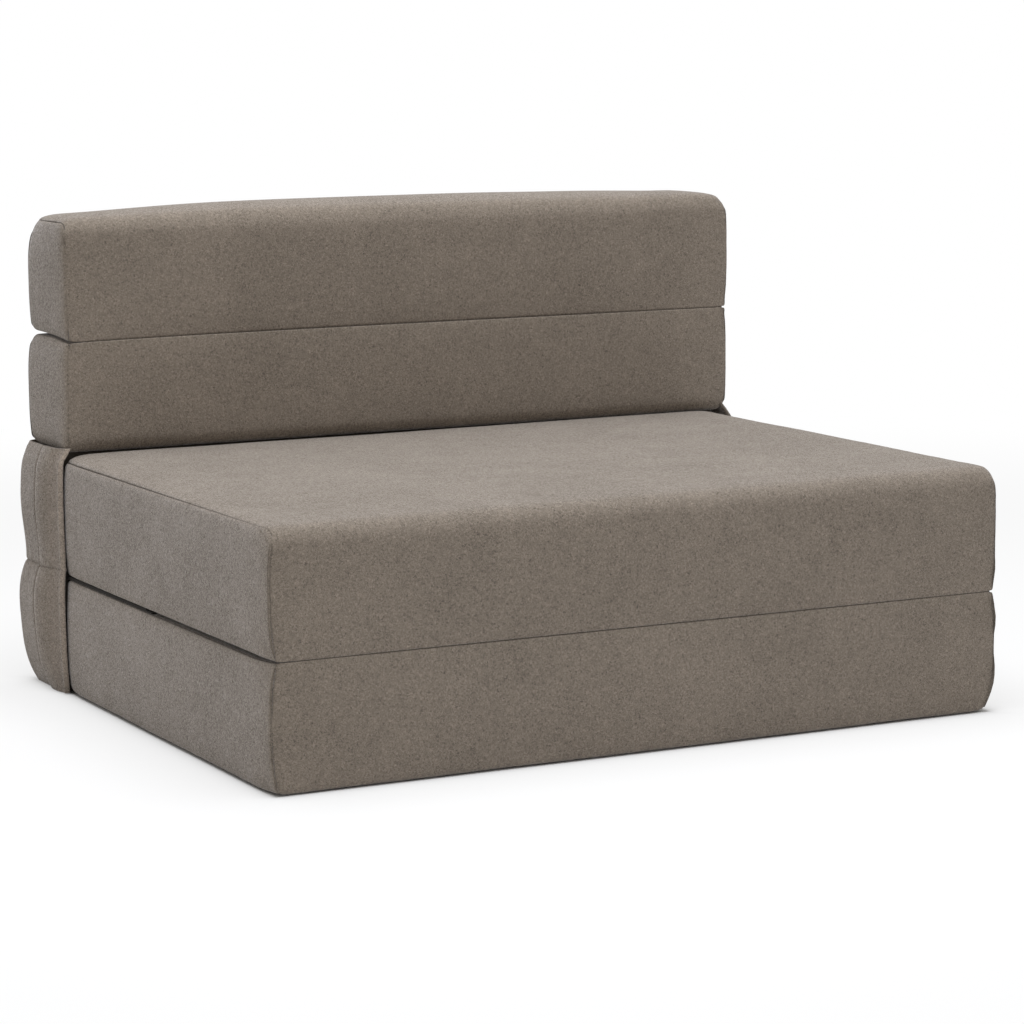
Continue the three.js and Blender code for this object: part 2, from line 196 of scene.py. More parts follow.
bpy.ops.object.select_all(action="DESELECT")
bpy.ops.mesh.primitive_plane_add(size=2 * floor_half)
floor = bpy.context.object
floor.name = "studio_floor"
floor_finish = bpy.data.materials.new("studio_floor")
floor_finish.use_nodes = True
tree = floor_finish.node_tree
tree.nodes.clear()
matt = Wire(tree).node("ShaderNodeBsdfDiffuse", None, {"Color": floor_colour})
white = Wire(tree).node("ShaderNodeEmission", None, {"Color": plain_white, "Strength": floor_glow})
place = object_place(tree)
away = place.node("ShaderNodeVectorMath", {"operation": "LENGTH"}, {0: place}, "Value")
kept = away.node("ShaderNodeMapRange", {"interpolation_type": "SMOOTHSTEP"}, {
    "Value": away, "From Min": shadow_near, "From Max": shadow_far,
    "To Min": shadow_share, "To Max": 0.0,
})
beyond_x, beyond_y = (
    axis.maths("ABSOLUTE") - half for axis, half in zip(place.axes(), contact_half)
)
clear = beyond_x.maths("MAXIMUM", beyond_y).maths("MAXIMUM")
kept = kept + (clear * (-1 / contact_reach)).maths("EXPONENT") * (1 - shadow_share)
Wire(tree).node("ShaderNodeMixShader", None, {
    "Fac": seen_directly(tree) * (1 - kept), 1: matt, 2: white,
}).into(tree.nodes.new("ShaderNodeOutputMaterial"), "Surface")
floor.data.materials.append(floor_finish)
floor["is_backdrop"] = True


# Foam blocks
# Four firm foam blocks in zipped covers of taupe velvet. A wrap runs round each block, and a flat
# panel closes each end with a plain box seam that draws the edges in and puckers a little.
#
# In the table, radii are those of the long edges. The top swells at the rear and at the front, and
# has a crown in its middle. The front edge reaches below and above towards the next block, which
# fades out over reach_depth. Draws take a corner in, at its bottom and its top. Widening moves an
# end out at its front and rear, and bow fills it between the corners, with rear_bow as the share
# that is left at the rear. A pinch takes in the left and the right end of the hinged edge, and sag
# hangs that edge lower, all along and more at the left. Slump sinks the top at the left end. Tilt
# lifts it towards the right by an amount, more steeply with its second number, and less at the
# rear by its third.
cell = 0.0115
edge_rows = (0.0008, 0.0019, 0.0034, 0.0058)
corner_cells = 3
blocks = {
    "base": {
        "radii": {"rear_bottom": 0.010, "rear_top": 0.008, "front_top": 0.0015, "front_bottom": 0.006},
        "swells": (0.0, 0.0), "crown": 0.0, "rides": "base",
        "reach": (0.0, 0.0018), "reach_depth": 0.05,
        "draws": {"left": (0.006, 0.003), "right": (0.014, 0.0020), "rear": (0.003, 0.002)},
        "widening": {"left": (0.0, 0.0), "right": (0.003, 0.003)}, "bow": 0.0055, "rear_bow": 0.6,
        "hinge": "top", "pinch": (0.004, 0.0035),
    },
    "seat": {
        "radii": {"rear_bottom": 0.008, "rear_top": 0.009, "front_top": 0.024, "front_bottom": 0.0015},
        "swells": (0.0098, 0.0015), "crown": 0.006, "rides": "seat",
        "reach": (0.0018, 0.0), "reach_depth": 0.05,
        "draws": {"left": (0.003, 0.004), "right": (0.0020, 0.001), "rear": (0.002, 0.002)},
        "widening": {"left": (0.0, 0.0), "right": (0.003, 0.003)}, "bow": 0.0055, "rear_bow": 0.6,
        "hinge": "bottom", "pinch": (0.004, 0.0035), "tilt": (0.0045, 3, 0.35),
    },
    "lower_back": {
        "radii": {"rear_bottom": 0.012, "rear_top": 0.018, "front_top": 0.0015, "front_bottom": 0.018},
        "swells": (0.0, 0.0), "crown": 0.0, "rides": "backrest",
        "reach": (0.0030, 0.0012), "reach_depth": 0.12,
        "draws": {"left": (-0.006, 0.000), "right": (0.000, 0.001), "rear": (0.002, 0.004)},
        "widening": {"left": (-0.009, 0.003), "right": (0.0090, 0.0085)}, "bow": 0.0060,
        "rear_bow": 0.7, "hinge": "top", "pinch": (0.002, 0.0025), "sag": (0.0016, 0.0044),
    },
    "upper_back": {
        "radii": {"rear_bottom": 0.011, "rear_top": 0.024, "front_top": 0.020, "front_bottom": 0.0015},
        "swells": (0.010, 0.010), "crown": 0.009, "rides": "headrest",
        "reach": (0.0012, 0.0), "reach_depth": 0.12,
        "draws": {"left": (0.000, -0.004), "right": (0.002, 0.000), "rear": (0.002, 0.008)},
        "widening": {"left": (-0.0095, -0.001), "right": (0.0100, 0.0085)}, "bow": 0.0060,
        "rear_bow": 0.7, "hinge": "bottom", "pinch": (0.002, 0.0025), "sag": (0.0016, 0.0044),
        "slump": 0.0046, "tilt": (0.0040, 30, 0.0),
    },
}
front_crown = 0.003
end_dome = 0.0025
corner_reach = 0.026
slump_reach = 0.34
swell_steepness = 60
swell_rise = 3
panel_rows = (0.0, 0.10, 0.28, 0.60)
panel_blend = 3
panel_end = 5
on_face = 0.9999
on_seam = 0.01
crown_steepness = 3
lip_steepness = 8
draw_steepness = 14
sag_reach = 0.35
sag_depth = 0.05
pinch_spread = 0.009
hinge_hold = 0.007
slit_hold = 0.6


def activate(piece):
    bpy.ops.object.select_all(action="DESELECT")
    piece.select_set(True)
    bpy.context.view_layer.objects.active = piece


def points_of(piece):
    flat = np.empty(3 * len(piece.data.vertices))
    piece.data.vertices.foreach_get("co", flat)
    return flat.reshape(-1, 3)


def set_points(piece, points):
    piece.data.vertices.foreach_set("co", np.asarray(points, float).ravel())
    piece.data.update()


def normals_of(piece):
    flat = np.empty(3 * len(piece.data.vertices))
    piece.data.vertices.foreach_get("normal", flat)
    return flat.reshape(-1, 3)


def gridded_cube(name, counts):
    """A cube from -1 to 1 whose faces are cut into counts cells along X, Y and Z."""
    bpy.ops.object.select_all(action="DESELECT")
    bpy.ops.mesh.primitive_cube_add(size=2)
    piece = bpy.context.object
    piece.name = name
    for axis, count in enumerate(counts):
        bpy.ops.object.mode_set(mode="EDIT")
        bpy.ops.mesh.select_all(action="DESELECT")
        bpy.ops.mesh.select_mode(type="EDGE")
        shape = bmesh.from_edit_mesh(piece.data)
        for edge in shape.edges:
            run = edge.verts[0].co - edge.verts[1].co
            edge.select_set(abs(run[axis]) > 0.5 * run.length)
        bmesh.update_edit_mesh(piece.data)
        bpy.ops.mesh.subdivide(number_cuts=count - 1)
        bpy.ops.object.mode_set(mode="OBJECT")
    return piece


def side_points(shares, count, start, end, start_radius, end_radius, turn):
    """Places along one side of a rounded outline: half an arc at each end, and a straight between."""
    index = shares * count
    arc = math.pi / 4
    begin = np.clip(index / corner_cells, 0, 1)
    finish = np.clip((count - index) / corner_cells, 0, 1)
    middle = np.clip((index - corner_cells) / (count - 2 * corner_cells), 0, 1)
    along = start + start_radius + middle * (end - end_radius - start - start_radius)
    along = along - start_radius * np.sin(arc * (1 - begin)) + end_radius * np.sin(arc * (1 - finish))
    inward = start_radius * (1 - np.cos(arc * (1 - begin)))
    inward = inward + end_radius * (1 - np.cos(arc * (1 - finish)))
    return along, turn * inward


def rounded_section(v, w, counts, block, low, high):
    """Maps places on a square, from 0 to 1 both ways, to the block's rounded section in Y and Z."""
    radii = block["radii"]
    depth = (counts[1], low.y, high.y)
    height = (counts[2], low.z, high.z)
    bottom = (radii["front_bottom"], radii["rear_bottom"], 1)
    top = (radii["front_top"], radii["rear_top"], -1)
    bottom_y, bottom_in = side_points(v, *depth, *bottom)
    top_y, top_in = side_points(v, *depth, *top)
    front_z, front_in = side_points(w, *height, radii["front_bottom"], radii["front_top"], 1)
    rear_z, rear_in = side_points(w, *height, radii["rear_bottom"], radii["rear_top"], -1)
    y = (1 - w) * bottom_y + w * top_y + (1 - v) * (low.y + front_in) + v * (high.y + rear_in)
    z = (1 - w) * (low.z + bottom_in) + w * (high.z + top_in) + (1 - v) * front_z + v * rear_z
    for at_v, at_w in ((0, 0), (1, 0), (0, 1), (1, 1)):
        corner_y, corner_in = side_points(np.array([float(at_v)]), *depth, *(top if at_w else bottom))
        weight = (v if at_v else 1 - v) * (w if at_w else 1 - w)
        y = y - weight * corner_y[0]
        z = z - weight * ((high.z if at_w else low.z) + corner_in[0])
    return y, z


def crowded_panel(u, v, w, counts):
    """Draws the outer rows of the end panels close to their seam, where the groove needs them."""
    cells = [(1 - abs(share)) * count / 2 for share, count in ((v, counts[1]), (w, counts[2]))]
    nearest = np.minimum(*cells)
    rows = (*range(len(panel_rows)), panel_end)
    inside = (abs(u) > on_face) & (nearest > on_seam)
    pull = np.where(inside, nearest - np.interp(nearest, rows, (*panel_rows, panel_end)), 0.0)
    pull = np.where(nearest < panel_end, pull, 0.0)
    moved = [away - pull * np.clip(1 - (away - nearest) / panel_blend, 0, 1) for away in cells]
    v = np.where(pull > 0, np.sign(v) * (1 - 2 * moved[0] / counts[1]), v)
    w = np.where(pull > 0, np.sign(w) * (1 - 2 * moved[1] / counts[2]), w)
    return v, w


def raised(u, v, block):
    """How far the top of a block stands above its end seams, carrying its rounded edges along."""
    rear_swell, front_swell = block["swells"]
    swell = front_swell + (v + 1) / 2 * (rear_swell - front_swell)
    slumped = block.get("slump", 0.0) * np.exp(-((u + 1) / slump_reach) ** 3)
    amount, rise, fading = block.get("tilt", (0.0, 1, 0.0))
    tilted = amount * ((u + 1) / 2) ** rise * (1 - fading * (v + 1) / 2)
    return (swell - slumped) * (1 - abs(u) ** swell_steepness) + tilted


def sagging(u, behind, sag):
    """How far a hinge seam in the front hangs below its level place: most at its left end."""
    everywhere, left = sag
    return (everywhere + left * np.exp(-(u + 1) / sag_reach)) * np.clip(1 - behind / sag_depth, 0, 1)


def foam_block(name, block):
    """A block's cover before it is filled, with the place of each point on its cube from -1 to 1."""
    low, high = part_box(f"{name}_side_left")
    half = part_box(f"{name}_cover")[1].x
    lengths = (2 * (half - edge_rows[-1]), high.y - low.y, high.z - low.z)
    counts = [round(length / cell) for length in lengths]
    counts[0] += 2 * len(edge_rows)
    piece = gridded_cube(f"{name}_cushion", counts)
    u, v, w = points_of(piece).T
    rows = (0, *range(1, len(edge_rows) + 1), counts[0] / 2)
    places = (half, *(half - row for row in edge_rows), 0)
    u = np.sign(u) * np.interp((1 - abs(u)) * counts[0] / 2, rows, places) / half
    v, w = crowded_panel(u, v, w, counts)
    y, z = rounded_section((v + 1) / 2, (w + 1) / 2, counts, block, low, high)
    below, above = block["reach"]
    near_front = np.clip(1 - (y - low.y) / block["reach_depth"], 0, 1)
    level = (2 * z - low.z - high.z) / (high.z - low.z)
    upper, lower = (np.clip(way * level, 0, 1) ** lip_steepness for way in (1, -1))
    towards_hinge = upper if block["hinge"] == "top" else lower
    z = z + near_front * (above * upper - below * lower)
    z = z - sagging(u, y - low.y, block.get("sag", (0.0, 0.0))) * towards_hinge
    z = z + raised(u, v, block) * ((w + 1) / 2) ** swell_rise
    set_points(piece, np.column_stack([u * half, y, z]))
    for face in piece.data.polygons:
        face.material_index = int(abs(face.center.x) > half - edge_rows[0] / 4)
    return piece, (u, v, w), low, high, half


def hump(share):
    """0 at both ends of a run, and 1 in its middle."""
    return 4 * share * (1 - share)


def lifts(u, v, w, block):
    """How far each place of a block stands proud of its seams once it is filled."""
    across = 1 - abs(u) ** crown_steepness
    top = hump((v + 1) / 2) * block["crown"] * across
    front = hump((w + 1) / 2) * front_crown * across
    end = end_dome * (1 - v ** 4) * (1 - w ** 4)
    return np.select([abs(u) > on_face, w > on_face, v < -on_face], [end, top, front], 0.0)


fill_share = 0.3
fill_frames = 20
fill_pressure = 4.0
cloth_mass = 0.3
cloth_stiffness = 12.0


def fill(piece, sewn, proud):
    """Blows the cover up from its sewn seams as cloth. No place stands out further than proud."""
    rest = points_of(piece)
    group = piece.vertex_groups.new(name="sewn")
    group.add([int(i) for i in np.flatnonzero(sewn)], 1.0, "REPLACE")
    stuffing = piece.modifiers.new("stuffing", "CLOTH")
    stuffing.settings.mass = cloth_mass
    stuffing.settings.tension_stiffness = cloth_stiffness
    stuffing.settings.compression_stiffness = cloth_stiffness
    stuffing.settings.use_pressure = True
    stuffing.settings.uniform_pressure_force = fill_pressure
    stuffing.settings.vertex_group_mass = "sewn"
    stuffing.settings.effector_weights.gravity = 0
    stuffing.point_cache.frame_start = 1
    stuffing.point_cache.frame_end = fill_frames
    for step in range(1, fill_frames + 1):
        bpy.context.scene.frame_set(step)
    activate(piece)
    bpy.ops.object.modifier_apply(modifier="stuffing")
    bpy.context.scene.frame_set(1)
    moves = points_of(piece) - rest
    reach = np.linalg.norm(moves, axis=1)
    kept = proud * np.tanh(reach / np.maximum(proud, 1e-6))
    set_points(piece, rest + moves * (kept / np.maximum(reach, 1e-9))[:, None])
    piece.vertex_groups.clear()


def seam_points(piece):
    """The points on the end seams: those that both a wrap face and an end face touch."""
    kinds = [set() for _ in piece.data.vertices]
    for face in piece.data.polygons:
        for corner in face.vertices:
            kinds[corner].add(face.material_index)
    return np.array([len(kind) > 1 for kind in kinds])


groove_depth = 0.0014
groove_width = 0.0010
seam_steps = 12
# Painted light: the first number scales the painted shade and painted highlight that the seam_shade
# attribute puts into the velvet's colour and sheen; the second is how wide the painted shade runs beside
# an end seam.
painted_light_strength = 0.42
painted_seam_shade_width = 0.0011
roll_depth = 0.0016
roll_width = 0.0045
pucker_depth = 0.0005
pucker_reach = 0.016
pucker_pitch = 70.0
unevenness = 0.0008
uneven_pitch = 7.0


def widened(u, v, w, near_front, near_rear, block):
    """How far the ends of a block bow out between its corners, and are drawn in at the corners."""
    along = (v + 1) / 2
    bow = block["bow"] * (1 - (1 - block["rear_bow"]) * along) * (1 - w ** 4)
    draws = block["draws"]
    left, right = (
        front + along * (rear - front)
        for front, rear in (block["widening"][side] for side in ("left", "right"))
    )
    front = np.where(u < 0, np.where(w < 0, *draws["left"]), np.where(w < 0, *draws["right"]))
    rear = np.where(w < 0, *draws["rear"])
    return np.where(u < 0, left, right) + bow - front * near_front - rear * near_rear


def seam_line(piece):
    """Close points along both end seams, for measuring how near a place is."""
    sewn = seam_points(piece)
    points = points_of(piece)
    edges = [edge.vertices for edge in piece.data.edges if all(sewn[i] for i in edge.vertices)]
    tree = kdtree.KDTree(len(edges) * seam_steps)
    for index, (first, second) in enumerate(edges):
        for step in range(seam_steps):
            place = points[first] + (points[second] - points[first]) * step / seam_steps
            tree.insert(Vector(place), index * seam_steps + step)
    tree.balance()
    return tree


def sew(piece, tree, hinge):
    """Draws the cover in along its seams, with a fine groove, a soft roll beside it and small puckers.

    It is drawn in less beside the next block, and not at all where a hinge tape holds the front edge.
    """
    points = points_of(piece)
    normals = normals_of(piece)
    moves = np.empty(len(points))
    gaps = np.empty(len(points))
    for index, point in enumerate(points):
        nearest, _, gap = tree.find(point)
        gaps[index] = gap
        pucker = noise.noise(nearest * pucker_pitch)
        moves[index] = (
            -groove_depth * math.exp(-(gap / groove_width) ** 2)
            - roll_depth * math.exp(-gap / roll_width)
            + pucker_depth * pucker * math.exp(-gap / pucker_reach)
            + unevenness * noise.noise(Vector(point) * uneven_pitch)
        )
    behind, beside = points[:, 1] - hinge[0], points[:, 2] - hinge[1]
    held = slit_hold * np.exp(-(beside / hinge_hold) ** 2)
    held = held + (1 - slit_hold) * np.exp(-(np.hypot(behind, beside) / hinge_hold) ** 2)
    set_points(piece, points + normals * (moves * (1 - held))[:, None])
    # Painted shade along each end seam, darkest on the seam line: the shade of the groove, where the
    # pile is also pressed flat.
    shades = piece.data.attributes.new("seam_shade", "FLOAT", "POINT")
    shades.data.foreach_set("value", np.exp(-(gaps / painted_seam_shade_width) ** 2))


def smooth(piece, cuts):
    """Rounds the shape by subdivision, and keeps the sewn seams where they are."""
    seams = seam_points(piece)
    creases = piece.data.attributes.new("crease_edge", "FLOAT", "EDGE")
    for edge in piece.data.edges:
        creases.data[edge.index].value = float(all(seams[i] for i in edge.vertices))
    rounding = piece.modifiers.new("rounding", "SUBSURF")
    rounding.levels = rounding.render_levels = cuts
    activate(piece)
    bpy.ops.object.modifier_apply(modifier="rounding")


# The velvet is short and dense: matt and brown when looked at squarely, with a pale sheen when
# looked at from the side, and cloudy where the nap has been brushed.
velvet_colour = (0.194, 0.163, 0.132)
hem_colour = (0.206, 0.173, 0.143)
cloud_pitch = 7.0
cloud_depth = 0.17
patch_pitch = 34.0
patch_depth = 0.10
nap_pitch = 120.0
nap_depth = 0.09
fibre_pitch = 470.0
fibre_depth = 1.15
noise_roughness = 0.6
brushing = 2.2
fibre_relief = 0.0011
fibre_bump = 0.6
nap_roughness = 0.86
roughness_spread = 0.1
nap_sheen = 0.36
nap_sheen_roughness = 0.42
nap_sheen_tint = (0.98, 0.97, 1.0, 1)
nap_gloss = 0.15


def velvet(name, colour):
    finish = bpy.data.materials.new(name)
    finish.use_nodes = True
    tree = finish.node_tree
    flat_nap = tree.nodes["Principled BSDF"]
    raised_nap = tree.nodes.new("ShaderNodeBsdfPrincipled")
    place = object_place(tree)
    clouds, patches, nap, fibres = (
        place.node("ShaderNodeTexNoise", None, {
            "Vector": place, "Scale": pitch, "Detail": detail, "Roughness": noise_roughness,
            "Distortion": twist,
        })
        for pitch, detail, twist in (
            (cloud_pitch, 4.0, 0.6), (patch_pitch, 3.0, 0.4), (nap_pitch, 2.0, 1.0),
            (fibre_pitch, 2.0, 1.4),
        )
    )
    waves = (
        (clouds - 0.5) * (2 * cloud_depth) + (patches - 0.5) * (2 * patch_depth)
        + (nap - 0.5) * (2 * nap_depth) + (fibres - 0.5) * (2 * fibre_depth)
    )
    # The seam_shade attribute paints shade into the colour and the sheen along the end seams, where the
    # pile is also pressed, and paints shade and highlight along the wings' stitched lines and hem edges.
    pressed_pile_and_painted_light = place.node("ShaderNodeAttribute", {"attribute_name": "seam_shade"}, output="Fac")
    shade = (1.0 + waves) * (1 - pressed_pile_and_painted_light * painted_light_strength)
    tint = shade.shading(colour)
    rough = nap_roughness + (clouds - 0.5) * roughness_spread
    bump = place.node("ShaderNodeBump", None, {
        "Strength": fibre_bump, "Distance": fibre_relief, "Height": fibres,
    })
    for shader, weight in ((flat_nap, 0.0), (raised_nap, 2 * nap_sheen)):
        tint.into(shader, "Base Color")
        rough.into(shader, "Roughness")
        bump.into(shader, "Normal")
        shader.inputs["Sheen Weight"].default_value = weight
        shader.inputs["Sheen Roughness"].default_value = nap_sheen_roughness
        shader.inputs["Sheen Tint"].default_value = nap_sheen_tint
        shader.inputs["Specular IOR Level"].default_value = nap_gloss
    lifted = (0.5 + waves * (brushing / 2)) * (1 - pressed_pile_and_painted_light * painted_light_strength)
    place.node("ShaderNodeMixShader", None, {
        "Fac": lifted.maths("MAXIMUM").maths("MINIMUM", 1.0),
        1: Wire(tree, flat_nap.outputs[0]), 2: Wire(tree, raised_nap.outputs[0]),
    }).into(tree.nodes["Material Output"], "Surface")
    return finish


cover_velvet = velvet("taupe_velvet", velvet_colour)
hem_velvet = velvet("hem_velvet", hem_colour)
smooth_angle = math.radians(50)
sewn_width = 1.5 * edge_rows[-1]

for name, block in blocks.items():
    piece, (u, v, w), low, high, half = foam_block(name, block)
    points = points_of(piece)
    off_edge = np.minimum(points[:, 2] - low.z, high.z - points[:, 2])
    near_front, near_rear = (
        np.exp(-(np.hypot(points[:, 1] - end, off_edge) / corner_reach) ** 2) for end in (low.y, high.y)
    )
    hinge = (low.y, high.z if block["hinge"] == "top" else low.z)
    from_hinge = np.hypot(points[:, 1] - hinge[0], points[:, 2] - hinge[1])
    pinched = np.where(u < 0, *block["pinch"]) * np.exp(-(from_hinge / pinch_spread) ** 2)
    wider = widened(u, v, w, near_front, near_rear, block) - pinched
    points[:, 0] += np.sign(u) * wider * abs(u) ** draw_steepness
    set_points(piece, points)
    sewn = seam_points(piece) | ((abs(u) < 1) & (abs(u) * half > half - sewn_width))
    proud = lifts(u, v, w, block)
    set_points(piece, points_of(piece) + normals_of(piece) * (1 - fill_share) * proud[:, None])
    fill(piece, sewn, fill_share * proud)
    smooth(piece, 1)
    sew(piece, seam_line(piece), hinge)
    piece.data.materials.append(cover_velvet)
    piece.data.materials.append(cover_velvet)
    activate(piece)
    bpy.ops.object.shade_smooth_by_angle(angle=smooth_angle)
    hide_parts(f"{name}_foam", f"{name}_cover", f"{name}_side_left", f"{name}_side_right")
    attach(piece, block["rides"])


# Sleeve behind the seat
# One velvet sleeve holds two padded sections. Its end panels, the wings, bulge over each section
# and are pinched in at the seam between them, and run on in front as free folded hems.
pad_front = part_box("rear_foam_lower")[0].y
pad_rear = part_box("lower_back_side_left")[1].y
pad_heights = (
    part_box("rear_foam_lower")[0].z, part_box("rear_foam_upper")[0].z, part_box("rear_foam_upper")[1].z,
)
pad_spreads = (0.006, 0.0185, 0.009)
side_lobes = (0.0145, 0.0100)
lobe_skews = (1.0, 1.9)
rear_lobe = 0.004
lobe_steepness = 3
block_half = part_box("seat_cover")[1].x
sleeve_skin = 0.002
sleeve_clearance = 0.0003
wing_corner = 0.017
wing_return = 0.030


def sleeve_row(share):
    """Height, half width and rear of the sleeve, from share 0 at the floor to 1 at the top."""
    share = np.asarray(share, float)
    lower = share < 0.5
    within = np.where(lower, 2 * share, 2 * share - 1)
    z = np.where(
        lower, pad_heights[0] + within * (pad_heights[1] - pad_heights[0]),
        pad_heights[1] + within * (pad_heights[2] - pad_heights[1]),
    )
    swell = 1 - abs(2 * within ** np.where(lower, *lobe_skews) - 1) ** lobe_steepness
    spread = np.where(
        lower, pad_spreads[0] + within * (pad_spreads[1] - pad_spreads[0]),
        pad_spreads[1] + within * (pad_spreads[2] - pad_spreads[1]),
    )
    side = block_half + spread + swell * np.where(lower, side_lobes[0], side_lobes[1])
    return z, side, pad_rear + rear_lobe * swell


def face_outwards(piece):
    activate(piece)
    bpy.ops.object.mode_set(mode="EDIT")
    bpy.ops.mesh.select_all(action="SELECT")
    bpy.ops.mesh.normals_make_consistent(inside=False)
    bpy.ops.object.mode_set(mode="OBJECT")
    bpy.ops.object.shade_smooth_by_angle(angle=smooth_angle)


def slab(name, counts, place, finish):
    """A sheet or strip: a gridded cube whose thickness, run and height are laid by place."""
    piece = gridded_cube(name, counts)
    u, v, w = points_of(piece).T
    set_points(piece, np.column_stack(place((u + 1) / 2, (v + 1) / 2, (w + 1) / 2)))
    piece.data.materials.append(finish)
    face_outwards(piece)
    return piece


def wing_path(run, side, rear, offset):
    """X and Y along a wing: straight back on the side, round the corner, and a short return."""
    straight = rear - wing_corner - pad_front
    quarter = wing_corner * math.pi / 2
    ahead = side - wing_corner - (block_half - wing_return)
    length = straight + quarter + ahead
    at = run * length
    angle = np.clip((at - straight) / quarter, 0, 1) * math.pi / 2
    back = np.minimum(at, straight)
    beyond = np.maximum(at - straight - quarter, 0)
    x = side - wing_corner + (wing_corner + offset) * np.cos(angle) - beyond
    y = pad_front + back + (wing_corner + offset) * np.sin(angle)
    return x, y, length


wing_counts = (1, 90, 84)
hem_counts = (4, 14, 84)
rear_counts = (1, 90, 40)
seam_crowding = 1.6
hem_depth = 0.022
hem_thickness = 0.006
hem_draws = {"left": 0.80, "right": -0.20}
draw_curve = 1.3
foot_cut = 0.005
foot_height = 0.012
curls = {"left": 0.010, "right": 0.0091}
lip = 0.0045
hem_peaks = {"left": 0.0010, "right": 0.0055}
peak_curve = 1.5
curl_height = 0.014
band_depth = 0.059
band_lift = 0.0020
band_puff = 0.0040
band_edge = 0.0020
bead_height = 0.0012
bead_place = 0.0026
bead_width = 0.0018
stitch_depth = 0.0040
stitch_width = 0.0032
# Painted shade on the stitched line of each wing's band, and a painted highlight on the ridge just in
# front of it.
stitch_painted_shade = 1.3
ridge_painted_highlight = 0.5
ridge_place = 0.006
# Painted light along the hem's front edge: a painted highlight on the left wing and painted shade on the
# right one.
hem_edge_painted_light = {"left": 1.1, "right": -0.6}
hem_edge_painted_light_width = 0.0028
crease_pitch = 90.0
crease_depth = 0.0014
crease_reach = 0.014
crease_row = 3.0
pinch_depth = 0.0016
pinch_width = 0.0020


def crowd(w):
    """Rows from the floor to the top of the sleeve, close together at the seam in the middle."""
    away = 2 * w - 1
    return 0.5 + 0.5 * np.sign(away) * abs(away) ** seam_crowding


def creases(y, z):
    """The pinched seam between the two padded sections, with small folds that fan out from it."""
    gap = abs(z - pad_heights[1])
    waves = np.array([noise.noise(Vector((0.0, place * crease_pitch, crease_row))) for place in y])
    folds = waves * crease_depth * np.exp(-gap / crease_reach)
    return folds - pinch_depth * np.exp(-(gap / pinch_width) ** 2)


def band(y):
    """How far the turned-over band at the front of a wing stands proud, up to its stitched line."""
    behind = y - (pad_front - hem_depth + band_depth)
    share = np.clip(1 + behind / band_depth, 0, 1)
    lift = (band_lift + band_puff * hump(share)) * (0.5 - 0.5 * np.tanh(behind / band_edge))
    return lift - stitch_depth * np.exp(-(behind / stitch_width) ** 2)


def rising(z):
    """From 0 to 1 over the last stretch below the top of the sleeve."""
    share = np.clip((z - pad_heights[2]) / curl_height + 1, 0, 1)
    return share ** 2 * (3 - 2 * share)


def drawn_in(y, side, name):
    """How far the front of a wing and its hem are drawn in towards the block they cover."""
    share = np.clip(1 - (y - pad_front + hem_depth) / band_depth, 0, 1)
    return hem_draws[name] * (side - block_half) * share ** draw_curve


def line(behind, place, width):
    """1 on a line at a place behind the front of the hem, and 0 away from it."""
    return np.exp(-((behind - place) / width) ** 2)


for name, turn in {"left": -1, "right": 1}.items():
    def wing_place(u, v, w):
        z, side, rear = sleeve_row(crowd(w))
        x, y, _ = wing_path(v, side, rear, sleeve_clearance + u * sleeve_skin)
        x = x - drawn_in(y, side, name) + (u > 0.5) * (creases(y, z) + band(y) * (x > block_half))
        return turn * x, y, z + lip * rising(z)

    def hem_place(u, v, w):
        z, side, rear = sleeve_row(crowd(w))
        behind = hem_depth * v ** 2
        y = pad_front - hem_depth + behind
        nose = np.sqrt(np.clip(1 - (1 - np.clip(behind / (hem_thickness / 2), 0, 1)) ** 2, 0, 1))
        flat = np.clip(behind / hem_depth, 0, 1) ** 2
        thickness = hem_thickness * nose * (1 - flat) + (sleeve_skin + band(y)) * flat
        middle = hem_thickness / 2 * (1 - flat) + (sleeve_skin + band(y)) / 2 * flat
        ahead = 1 - behind / hem_depth
        inward = drawn_in(y, side, name) + ahead * curls[name] * rising(z)
        y = y + foot_cut * ahead * np.exp(-(z - pad_heights[0]) / foot_height)
        bead = bead_height * line(behind, bead_place, bead_width) * (u > 0.5)
        x = side - inward + sleeve_clearance + middle + (u - 0.5) * thickness + bead
        x = x + creases(y, z) * (1 - 0.5 * ahead)
        return turn * x, y, z + (lip + hem_peaks[name] * ahead ** peak_curve) * rising(z)

    wing = slab(f"wing_{name}_panel", wing_counts, wing_place, cover_velvet)
    hem = slab(f"wing_{name}_edge", hem_counts, hem_place, hem_velvet)
    for piece in (wing, hem):
        behind = points_of(piece)[:, 1] - (pad_front - hem_depth)
        # Painted shade on the stitched line and a painted highlight on the ridge in front of it.
        shade = stitch_painted_shade * line(behind, band_depth, stitch_width)
        shade = shade - ridge_painted_highlight * line(behind, band_depth - ridge_place, stitch_width)
        # Along the hem's front edge, a painted highlight on the left wing and painted shade on the right
        # one.
        shade = shade - hem_edge_painted_light[name] * line(behind, 0.0, hem_edge_painted_light_width)
        piece.data.attributes.new("seam_shade", "FLOAT", "POINT").data.foreach_set("value", shade)
    run = wing_path(1.0, block_half + side_lobes[0], pad_rear, sleeve_skin)[2]
    shown = {f"wing_{name}": (wing, "cover_fabric"), f"wing_{name}_hem": (hem, "hem_fabric")}
    for node, (piece, slot) in shown.items():
        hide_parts(node)
        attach(piece, "backrest")


def rear_place(u, v, w):
    z, _, rear = sleeve_row(w)
    x = (2 * v - 1) * (block_half - wing_return - sleeve_clearance)
    return x, rear + sleeve_clearance + u * sleeve_skin, z


rear_panel = slab("sleeve_rear_panel", rear_counts, rear_place, cover_velvet)
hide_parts("sleeve_rear_sheet")
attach(rear_panel, "backrest")


# Padded sections
# Two lengths of foam wadding stand in the sleeve, one behind the base and one behind the seat, and
# give the back section its footing. Each is sewn into its own velvet bag.
pad_counts = (100, 16, 20)
pad_corner = 0.022
pad_filled = 0.999

